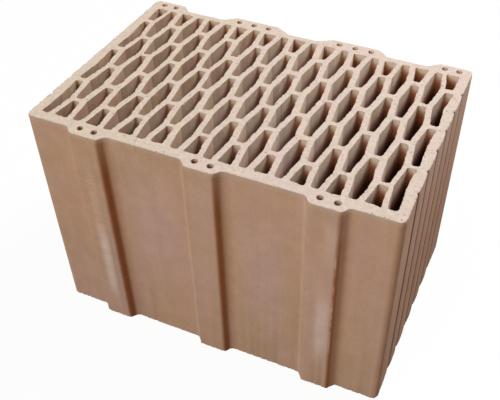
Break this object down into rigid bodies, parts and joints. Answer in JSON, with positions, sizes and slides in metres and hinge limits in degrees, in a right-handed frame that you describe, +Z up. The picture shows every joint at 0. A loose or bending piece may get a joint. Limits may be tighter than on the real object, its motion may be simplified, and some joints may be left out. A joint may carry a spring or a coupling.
{
  "type": "hollow clay block",
  "caption": "Ground hollow clay block with staggered six-sided upright cells, tongues on one joint face and grooves on the other, for thin-joint masonry walls.",
  "frame": {"origin": "middle of the bounding box on the lower bed face", "axes": "+X across the wall from one plaster face to the other, +Y along the wall from the tongue face to the groove face, +Z up through the cells"},
  "size_m": [0.365, 0.25, 0.249],
  "materials": {
    "fired_clay": "matte fired clay, bed faces ground flat"
  },
  "bodies": {
    "root": {"clay_block": "fired_clay"}
  },
  "joints": []
}
